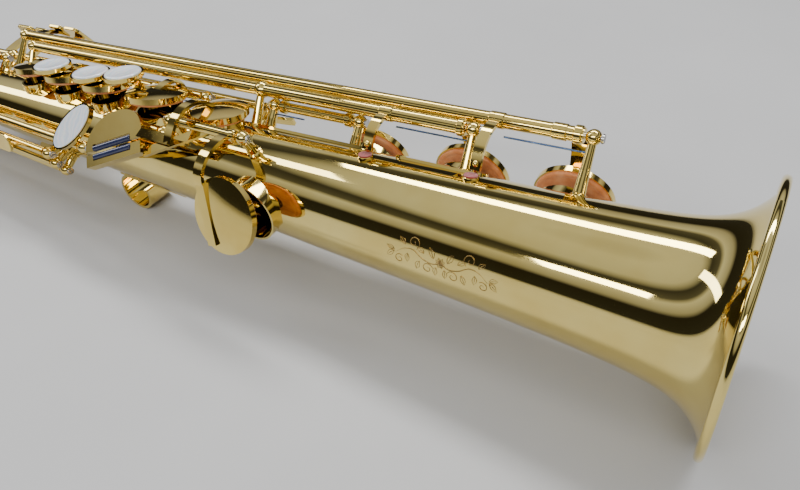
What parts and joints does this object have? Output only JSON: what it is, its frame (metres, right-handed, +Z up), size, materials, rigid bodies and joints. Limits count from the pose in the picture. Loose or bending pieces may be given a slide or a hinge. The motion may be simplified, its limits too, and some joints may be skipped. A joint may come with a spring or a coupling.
{
  "type": "soprano saxophone",
  "caption": "Straight soprano saxophone with hinged keys, pads, rollers and springs, lying on its back, with mouthpiece fitted.",
  "frame": {"origin": "on the resting surface, under the middle of the instrument's box", "axes": "+X down the bore from mouthpiece to bell, +Y to the player's left hand, +Z up, out of the front of the instrument; it lies on its back on the bell's rim, the thumb hook and the strap ring"},
  "size_m": [0.7288, 0.0928, 0.092],
  "materials": {
    "lacquered_brass": "clear gold lacquer, mirror bright",
    "key_brass": "clear gold lacquer, polished",
    "pad_leather": "tan kid leather, satin",
    "pearl": "mother-of-pearl, gloss",
    "roller": "dark blue-black resin, gloss",
    "pivot_steel": "ground steel",
    "blued_steel": "blued spring steel",
    "felt": "pressed red felt, matt",
    "cork": "natural cork, matt",
    "hard_rubber": "black hard rubber, polished",
    "cane": "natural cane",
    "ligature_metal": "gold lacquer"
  },
  "bodies": {
    "horn": {"body_tube": "lacquered_brass", "bell": "lacquered_brass", "bell_rim_ring": "lacquered_brass", "post_ribs": "key_brass", "thumb_hook": "key_brass", "strap_ring": "key_brass", "thumb_rest": "key_brass", "key_felts": "felt", "hinge_rods": "pivot_steel", "needle_springs": "blued_steel", "neck_cork": "cork", "mouthpiece": "hard_rubber", "reed": "cane", "ligature": "ligature_metal", "ligature_screws": "ligature_metal", "lever_saddles": "key_brass", "long_key_posts": "key_brass", "stack_posts": "key_brass"},
    "low_b_flat_key": {"low_b_flat_key": "key_brass", "low_b_flat_pad": "pad_leather"},
    "low_b_key": {"low_b_key": "key_brass", "low_b_pad": "pad_leather"},
    "low_c_key": {"low_c_key": "key_brass", "low_c_pad": "pad_leather"},
    "low_c_sharp_key": {"low_c_sharp_key": "key_brass", "low_c_sharp_pad": "pad_leather"},
    "c_sharp_lever": {"c_sharp_lever": "key_brass"},
    "g_sharp_lever": {"g_sharp_lever": "key_brass"},
    "g_sharp_key": {"g_sharp_key": "key_brass"},
    "e_flat_key": {"e_flat_key": "key_brass", "e_flat_pad": "pad_leather"},
    "d_key": {"d_key": "key_brass", "d_pad": "pad_leather", "d_pearl": "pearl"},
    "e_key": {"e_key": "key_brass", "e_pad": "pad_leather", "e_pearl": "pearl"},
    "f_key": {"f_key": "key_brass", "f_pad": "pad_leather", "f_pearl": "pearl"},
    "f_sharp_key": {"f_sharp_key": "key_brass", "f_sharp_pad": "pad_leather"},
    "g_key": {"g_key": "key_brass"},
    "bis_key": {"bis_key": "key_brass"},
    "a_key": {"a_key": "key_brass"},
    "b_key": {"b_key": "key_brass"},
    "c_key": {"c_key": "key_brass"},
    "palm_d_key": {"palm_d_key": "key_brass"},
    "palm_e_flat_key": {"palm_e_flat_key": "key_brass"},
    "palm_f_key": {"palm_f_key": "key_brass"},
    "high_e_key": {"high_e_key": "key_brass"},
    "side_c_key": {"side_c_key": "key_brass"},
    "side_b_flat_key": {"side_b_flat_key": "key_brass"},
    "high_f_sharp_key": {"high_f_sharp_key": "key_brass", "high_f_sharp_pearl": "pearl"},
    "octave_lever": {"octave_lever": "key_brass"},
    "upper_octave_key": {"upper_octave_key": "key_brass"},
    "lower_octave_key": {"lower_octave_key": "key_brass"},
    "e_flat_roller": {"e_flat_roller": "roller"},
    "low_c_roller": {"low_c_roller": "roller"}
  },
  "joints": [
    {"name": "low_b_flat_hinge", "type": "hinge", "parent": "horn", "child": "low_b_flat_key", "pos_m": [0.16219, 0.02587, 0.07119], "axis": [-0.9984, -0.0195, -0.0539], "range_deg": [0, 14], "stiffness_Nm_per_rad": 0.03, "springref_deg": -20.05},
    {"name": "low_b_hinge", "type": "hinge", "parent": "horn", "child": "low_b_key", "pos_m": [0.16225, 0.01949, 0.06937], "axis": [-0.9983, -0.017, -0.0559], "range_deg": [0, 11], "stiffness_Nm_per_rad": 0.03, "springref_deg": -20.05},
    {"name": "low_c_hinge", "type": "hinge", "parent": "horn", "child": "low_c_key", "pos_m": [0.15633, -0.01236, 0.06655], "axis": [0.9982, -0.0124, 0.0584], "range_deg": [0, 20], "stiffness_Nm_per_rad": 0.02, "springref_deg": -20.05},
    {"name": "low_c_sharp_hinge", "type": "hinge", "parent": "horn", "child": "low_c_sharp_key", "pos_m": [0.18241, 0.01951, 0.06423], "axis": [-0.9984, -0.0195, -0.0539], "range_deg": [0, 8]},
    {"name": "c_sharp_lever_hinge", "type": "hinge", "parent": "horn", "child": "c_sharp_lever", "pos_m": [0.06274, 0.02337, 0.05167], "axis": [0.9986, 0.0258, 0.0468], "range_deg": [0, 8], "stiffness_Nm_per_rad": 0.03, "springref_deg": -20.05},
    {"name": "g_sharp_lever_hinge", "type": "hinge", "parent": "horn", "child": "g_sharp_lever", "pos_m": [-0.03017, 0.02098, 0.04732], "axis": [-0.9986, -0.0258, -0.0468], "range_deg": [0, 9], "stiffness_Nm_per_rad": 0.02, "springref_deg": -20.05},
    {"name": "g_sharp_hinge", "type": "hinge", "parent": "horn", "child": "g_sharp_key", "pos_m": [-0.00246, 0.01834, 0.02483], "axis": [-0.9995, -0.0268, -0.0164], "range_deg": [0, 9]},
    {"name": "e_flat_hinge", "type": "hinge", "parent": "horn", "child": "e_flat_key", "pos_m": [0.11656, -0.01398, 0.0586], "axis": [0.9983, -0.017, 0.0559], "range_deg": [0, 8], "stiffness_Nm_per_rad": 0.02, "springref_deg": -20.05},
    {"name": "d_hinge", "type": "hinge", "parent": "horn", "child": "d_key", "pos_m": [0.11553, 0.01496, 0.05959], "axis": [0.9983, 0.0179, 0.0553], "range_deg": [0, 13], "stiffness_Nm_per_rad": 0.012, "springref_deg": -20.05},
    {"name": "e_hinge", "type": "hinge", "parent": "horn", "child": "e_key", "pos_m": [0.08207, 0.01437, 0.05774], "axis": [0.9983, 0.0179, 0.0553], "range_deg": [0, 13], "stiffness_Nm_per_rad": 0.012, "springref_deg": -20.05},
    {"name": "f_hinge", "type": "hinge", "parent": "horn", "child": "f_key", "pos_m": [0.0546, 0.01387, 0.05622], "axis": [0.9983, 0.0179, 0.0553], "range_deg": [0, 13], "stiffness_Nm_per_rad": 0.012, "springref_deg": -20.05},
    {"name": "f_sharp_hinge", "type": "hinge", "parent": "horn", "child": "f_sharp_key", "pos_m": [0.02863, 0.01341, 0.05478], "axis": [0.9983, 0.0179, 0.0553], "range_deg": [0, 13]},
    {"name": "g_hinge", "type": "hinge", "parent": "horn", "child": "g_key", "pos_m": [-0.02925, 0.01325, 0.05026], "axis": [0.9984, 0.0195, 0.0539], "range_deg": [0, 11], "stiffness_Nm_per_rad": 0.012, "springref_deg": -20.05},
    {"name": "bis_hinge", "type": "hinge", "parent": "horn", "child": "bis_key", "pos_m": [-0.05523, 0.01274, 0.04886], "axis": [0.9984, 0.0195, 0.0539], "range_deg": [0, 11]},
    {"name": "a_hinge", "type": "hinge", "parent": "horn", "child": "a_key", "pos_m": [-0.0792, 0.01227, 0.04756], "axis": [0.9984, 0.0195, 0.0539], "range_deg": [0, 11], "stiffness_Nm_per_rad": 0.012, "springref_deg": -20.05},
    {"name": "b_hinge", "type": "hinge", "parent": "horn", "child": "b_key", "pos_m": [-0.10117, 0.01184, 0.04637], "axis": [0.9984, 0.0195, 0.0539], "range_deg": [0, 11], "stiffness_Nm_per_rad": 0.012, "springref_deg": -20.05},
    {"name": "c_hinge", "type": "hinge", "parent": "horn", "child": "c_key", "pos_m": [-0.12314, 0.01141, 0.04519], "axis": [0.9984, 0.0195, 0.0539], "range_deg": [0, 11], "stiffness_Nm_per_rad": 0.012, "springref_deg": -20.05},
    {"name": "palm_d_hinge", "type": "hinge", "parent": "horn", "child": "palm_d_key", "pos_m": [-0.12609, 0.01784, 0.0359], "axis": [0.0297, 0.2588, -0.9655], "range_deg": [0, 7], "stiffness_Nm_per_rad": 0.012, "springref_deg": -20.05},
    {"name": "palm_e_flat_hinge", "type": "hinge", "parent": "horn", "child": "palm_e_flat_key", "pos_m": [-0.14372, 0.0166, 0.02359], "axis": [0.0285, -0.3746, -0.9267], "range_deg": [0, 7], "stiffness_Nm_per_rad": 0.012, "springref_deg": -20.05},
    {"name": "palm_f_hinge", "type": "hinge", "parent": "horn", "child": "palm_f_key", "pos_m": [-0.17818, 0.01458, 0.03807], "axis": [0.0266, 0.5, -0.8656], "range_deg": [0, 7], "stiffness_Nm_per_rad": 0.012, "springref_deg": -20.05},
    {"name": "high_e_hinge", "type": "hinge", "parent": "horn", "child": "high_e_key", "pos_m": [-0.03668, -0.02278, 0.0314], "axis": [-0.9992, 0.0302, -0.0275], "range_deg": [0, 10], "stiffness_Nm_per_rad": 0.015, "springref_deg": -20.05},
    {"name": "side_c_hinge", "type": "hinge", "parent": "horn", "child": "side_c_key", "pos_m": [-0.03651, -0.02141, 0.02569], "axis": [-0.9994, 0.0284, -0.0198], "range_deg": [0, 10], "stiffness_Nm_per_rad": 0.015, "springref_deg": -20.05},
    {"name": "side_b_flat_hinge", "type": "hinge", "parent": "horn", "child": "side_b_flat_key", "pos_m": [-0.03635, -0.01861, 0.02053], "axis": [-0.9996, 0.0246, -0.0128], "range_deg": [0, 10], "stiffness_Nm_per_rad": 0.015, "springref_deg": -20.05},
    {"name": "high_f_sharp_hinge", "type": "hinge", "parent": "horn", "child": "high_f_sharp_key", "pos_m": [-0.03696, -0.02085, 0.04039], "axis": [-0.9988, 0.0289, -0.0401], "range_deg": [0, 9], "stiffness_Nm_per_rad": 0.015, "springref_deg": -20.05},
    {"name": "octave_lever_hinge", "type": "hinge", "parent": "horn", "child": "octave_lever", "pos_m": [-0.11836, -0.00041, 0.01353], "axis": [0, 1, 0], "range_deg": [0, 3], "stiffness_Nm_per_rad": 0.02, "springref_deg": -20.05},
    {"name": "upper_octave_hinge", "type": "hinge", "parent": "horn", "child": "upper_octave_key", "pos_m": [-0.22441, -0.00041, 0.0135], "axis": [0, -1, 0], "range_deg": [0, 5.2]},
    {"name": "lower_octave_hinge", "type": "hinge", "parent": "horn", "child": "lower_octave_key", "pos_m": [-0.15346, 0.0089, 0.01636], "axis": [0.0172, -0.829, -0.5589], "range_deg": [0, 5.2]},
    {"name": "e_flat_roller_spin", "type": "hinge", "parent": "e_flat_key", "child": "e_flat_roller", "pos_m": [0.10946, -0.02471, 0.05379], "axis": [0.8953, 0.2623, 0.3601], "continuous": true},
    {"name": "low_c_roller_spin", "type": "hinge", "parent": "low_c_key", "child": "low_c_roller", "pos_m": [0.11114, -0.02705, 0.05131], "axis": [0.8953, 0.2623, 0.3601], "continuous": true}
  ],
  "couplings": [
    {"joint": "low_c_sharp_hinge", "follows": "c_sharp_lever_hinge", "ratio": 1},
    {"joint": "g_sharp_hinge", "follows": "g_sharp_lever_hinge", "ratio": 1},
    {"joint": "f_sharp_hinge", "follows": "f_hinge", "ratio": 1},
    {"joint": "bis_hinge", "follows": "a_hinge", "ratio": 1},
    {"joint": "upper_octave_hinge", "follows": "octave_lever_hinge", "ratio": 1.69},
    {"joint": "lower_octave_hinge", "follows": "octave_lever_hinge", "ratio": 1.6}
  ]
}
